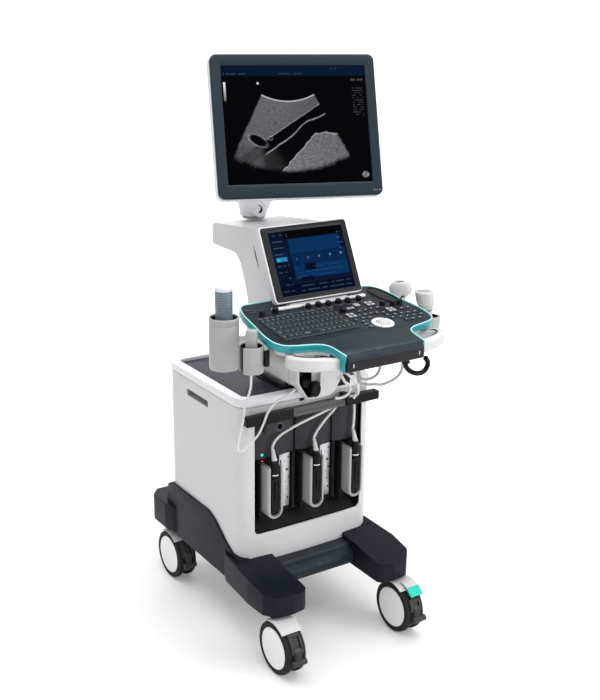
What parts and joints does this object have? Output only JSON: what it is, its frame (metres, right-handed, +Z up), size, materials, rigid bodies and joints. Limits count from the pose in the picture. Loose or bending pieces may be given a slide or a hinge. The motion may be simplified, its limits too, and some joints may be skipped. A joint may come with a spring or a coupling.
{
  "type": "ultrasound machine",
  "caption": "Mobile diagnostic ultrasound cart with swivel casters, connector bay, lifting control console, touch panel and a jointed monitor arm.",
  "frame": {"origin": "on the floor, under the middle of the machine's outline seen from above", "axes": "+Z up, -Y towards the operator, +X to the operator's right"},
  "size_m": [0.616, 0.85, 1.5374],
  "materials": {
    "navy": "satin moulded plastic",
    "slate": "fine-grained satin",
    "painted_steel": "black powder coat",
    "white_cover": "fine satin grain",
    "gloss_white": "gloss",
    "grey_plastic": "satin",
    "inlay_slate": "satin",
    "dark_plastic": "satin",
    "module_case": "satin",
    "supply_case": "brushed",
    "column_alloy": "anodised",
    "teal": "gloss",
    "bottle_blue": "soft squeeze plastic",
    "probe_white": "satin",
    "bezel_slate": "satin",
    "screen_glass": "gloss",
    "pedal_turquoise": "gloss",
    "tyre_rubber": "matte"
  },
  "bodies": {
    "cart": {"base_frame": "navy", "base_cross_bar": "slate", "belly_plate": "painted_steel", "cabinet_shell": "white_cover", "rear_panel": "grey_plastic", "top_rim": "gloss_white", "top_inlay": "inlay_slate", "connector_bay_liner": "dark_plastic", "connector_1": "grey_plastic", "connector_2": "grey_plastic", "connector_3": "grey_plastic", "cable_rail": "dark_plastic", "electronics_module": "module_case", "power_supply": "supply_case", "column_outer": "column_alloy"},
    "fan": {"fan_rotor": "dark_plastic"},
    "lift": {"column_inner": "column_alloy", "support_arm": "white_cover"},
    "lock_knob": {"arm_lock_knob": "dark_plastic"},
    "console": {"console_panel": "slate", "teal_trim": "teal", "console_shell": "white_cover", "bag_hook": "dark_plastic", "keyboard": "dark_plastic", "tower": "white_cover", "gel_cup": "white_cover", "probe_cup_left": "white_cover", "probe_cups_right": "white_cover"},
    "key": {"scan_key": "grey_plastic"},
    "ball": {"trackball": "gloss_white"},
    "bottle": {"gel_bottle": "bottle_blue"},
    "linear_probe": {"probe_linear": "probe_white"},
    "convex_probe": {"probe_convex": "probe_white"},
    "phased_probe": {"probe_phased": "probe_white"},
    "touch": {"touch_panel": "bezel_slate"},
    "screen_arm": {"monitor_arm": "gloss_white"},
    "tilt_head": {"monitor_tilt_head": "dark_plastic"},
    "monitor": {"monitor_shell": "gloss_white", "monitor_bezel": "bezel_slate", "monitor_screen": "screen_glass"},
    "pedal": {"brake_pedal": "pedal_turquoise"},
    "caster_front_left": {"caster_fork_front_left": "grey_plastic"},
    "wheels_front_left": {"wheel_pair_front_left": "tyre_rubber"},
    "caster_front_right": {"caster_fork_front_right": "grey_plastic"},
    "wheels_front_right": {"wheel_pair_front_right": "tyre_rubber"},
    "caster_rear_left": {"caster_fork_rear_left": "grey_plastic"},
    "wheels_rear_left": {"wheel_pair_rear_left": "tyre_rubber"},
    "caster_rear_right": {"caster_fork_rear_right": "grey_plastic"},
    "wheels_rear_right": {"wheel_pair_rear_right": "tyre_rubber"},
    "latch_1": {"connector_latch_1": "dark_plastic"},
    "latch_2": {"connector_latch_2": "dark_plastic"},
    "latch_3": {"connector_latch_3": "dark_plastic"},
    "dial_1": {"knob_1": "dark_plastic"},
    "dial_2": {"knob_2": "dark_plastic"},
    "dial_3": {"knob_3": "dark_plastic"},
    "dial_4": {"knob_4": "dark_plastic"},
    "dial_5": {"knob_5": "dark_plastic"},
    "dial_6": {"knob_6": "dark_plastic"},
    "dial_7": {"knob_7": "dark_plastic"},
    "dial_8": {"knob_8": "dark_plastic"}
  },
  "joints": [
    {"name": "caster_swivel_front_left", "type": "hinge", "parent": "cart", "child": "caster_front_left", "pos_m": [-0.1855, -0.242, 0.0716], "axis": [0, 0, 1], "continuous": true},
    {"name": "wheel_roll_front_left", "type": "hinge", "parent": "caster_front_left", "child": "wheels_front_left", "pos_m": [-0.1855, -0.275, 0.0716], "axis": [1, 0, 0], "continuous": true},
    {"name": "caster_swivel_front_right", "type": "hinge", "parent": "cart", "child": "caster_front_right", "pos_m": [0.1995, -0.242, 0.0716], "axis": [0, 0, 1], "continuous": true},
    {"name": "wheel_roll_front_right", "type": "hinge", "parent": "caster_front_right", "child": "wheels_front_right", "pos_m": [0.1995, -0.275, 0.0716], "axis": [1, 0, 0], "continuous": true},
    {"name": "caster_swivel_rear_left", "type": "hinge", "parent": "cart", "child": "caster_rear_left", "pos_m": [-0.1855, 0.354, 0.0716], "axis": [0, 0, 1], "continuous": true},
    {"name": "wheel_roll_rear_left", "type": "hinge", "parent": "caster_rear_left", "child": "wheels_rear_left", "pos_m": [-0.1855, 0.321, 0.0716], "axis": [1, 0, 0], "continuous": true},
    {"name": "caster_swivel_rear_right", "type": "hinge", "parent": "cart", "child": "caster_rear_right", "pos_m": [0.1995, 0.354, 0.0716], "axis": [0, 0, 1], "continuous": true},
    {"name": "wheel_roll_rear_right", "type": "hinge", "parent": "caster_rear_right", "child": "wheels_rear_right", "pos_m": [0.1995, 0.321, 0.0716], "axis": [1, 0, 0], "continuous": true},
    {"name": "brake_pedal_press", "type": "hinge", "parent": "caster_front_right", "child": "pedal", "pos_m": [0.1995, -0.295, 0.1487], "axis": [1, 0, 0], "range_deg": [0, 12], "stiffness_Nm_per_rad": 1},
    {"name": "console_lift", "type": "slide", "parent": "cart", "child": "lift", "axis": [0, 0, 1], "range_m": [0, 0.2]},
    {"name": "console_swivel", "type": "hinge", "parent": "lift", "child": "console", "pos_m": [0.007, -0.017, 0.8], "axis": [0, 0, 1], "range_deg": [-35, 35]},
    {"name": "arm_lock_turn", "type": "hinge", "parent": "lift", "child": "lock_knob", "pos_m": [-0.035, -0.146, 0.725], "axis": [0, -1, 0], "range_deg": [0, 90]},
    {"name": "touch_panel_tilt", "type": "hinge", "parent": "console", "child": "touch", "pos_m": [0.007, -0.131, 0.944], "axis": [1, 0, 0], "range_deg": [0, 25]},
    {"name": "monitor_arm_swivel", "type": "hinge", "parent": "console", "child": "screen_arm", "pos_m": [0.007, 0.188, 1.1], "axis": [0, 0, 1], "range_deg": [-66, 24]},
    {"name": "monitor_pan", "type": "hinge", "parent": "screen_arm", "child": "tilt_head", "pos_m": [0.04934, 0.07582, 1.34614], "axis": [0, 0, 1], "range_deg": [-20, 55]},
    {"name": "monitor_tilt", "type": "hinge", "parent": "tilt_head", "child": "monitor", "pos_m": [0.04141, 0.05317, 1.34614], "axis": [0.9438, -0.3305, 0], "range_deg": [-10, 15], "stiffness_Nm_per_rad": 150},
    {"name": "connector_latch_1_open", "type": "hinge", "parent": "cart", "child": "latch_1", "pos_m": [-0.109, -0.1155, 0.3685], "axis": [1, 0, 0], "range_deg": [0, 60], "stiffness_Nm_per_rad": 0.5},
    {"name": "connector_latch_2_open", "type": "hinge", "parent": "cart", "child": "latch_2", "pos_m": [0.023, -0.1155, 0.3685], "axis": [1, 0, 0], "range_deg": [0, 60], "stiffness_Nm_per_rad": 0.5},
    {"name": "connector_latch_3_open", "type": "hinge", "parent": "cart", "child": "latch_3", "pos_m": [0.149, -0.1155, 0.3685], "axis": [1, 0, 0], "range_deg": [0, 60], "stiffness_Nm_per_rad": 0.5},
    {"name": "gel_bottle_lift", "type": "slide", "parent": "console", "child": "bottle", "axis": [0, 0, 1], "range_m": [0, 0.1]},
    {"name": "linear_probe_lift", "type": "slide", "parent": "console", "child": "linear_probe", "axis": [0, 0, 1], "range_m": [0, 0.08]},
    {"name": "convex_probe_lift", "type": "slide", "parent": "console", "child": "convex_probe", "axis": [0, 0, 1], "range_m": [0, 0.08]},
    {"name": "phased_probe_lift", "type": "slide", "parent": "console", "child": "phased_probe", "axis": [0, 0, 1], "range_m": [0, 0.08]},
    {"name": "knob_1_turn", "type": "hinge", "parent": "console", "child": "dial_1", "pos_m": [-0.04, -0.156, 0.92825], "axis": [0, -0.1475, 0.9891], "continuous": true},
    {"name": "knob_2_turn", "type": "hinge", "parent": "console", "child": "dial_2", "pos_m": [-0.009, -0.154, 0.92854], "axis": [0, -0.1475, 0.9891], "continuous": true},
    {"name": "knob_3_turn", "type": "hinge", "parent": "console", "child": "dial_3", "pos_m": [0.02, -0.157, 0.9281], "axis": [0, -0.1475, 0.9891], "continuous": true},
    {"name": "knob_4_turn", "type": "hinge", "parent": "console", "child": "dial_4", "pos_m": [0.052, -0.155, 0.9284], "axis": [0, -0.1475, 0.9891], "continuous": true},
    {"name": "knob_5_turn", "type": "hinge", "parent": "console", "child": "dial_5", "pos_m": [0.079, -0.158, 0.92795], "axis": [0, -0.1475, 0.9891], "continuous": true},
    {"name": "knob_6_turn", "type": "hinge", "parent": "console", "child": "dial_6", "pos_m": [0.114, -0.157, 0.9281], "axis": [0, -0.1475, 0.9891], "continuous": true},
    {"name": "knob_7_turn", "type": "hinge", "parent": "console", "child": "dial_7", "pos_m": [0.03, -0.208, 0.92049], "axis": [0, -0.1475, 0.9891], "continuous": true},
    {"name": "knob_8_turn", "type": "hinge", "parent": "console", "child": "dial_8", "pos_m": [0.155, -0.206, 0.92079], "axis": [0, -0.1475, 0.9891], "continuous": true},
    {"name": "scan_key_press", "type": "slide", "parent": "console", "child": "key", "axis": [0, -0.1475, 0.9891], "range_m": [-0.0015, 0], "stiffness_N_per_m": 300},
    {"name": "trackball_roll", "type": "hinge", "parent": "console", "child": "ball", "pos_m": [0.089, -0.29582, 0.89931], "axis": [1, 0, 0], "continuous": true},
    {"name": "fan_spin", "type": "hinge", "parent": "cart", "child": "fan", "pos_m": [-0.088, 0.289, 0.52], "axis": [0, 1, 0], "continuous": true}
  ]
}
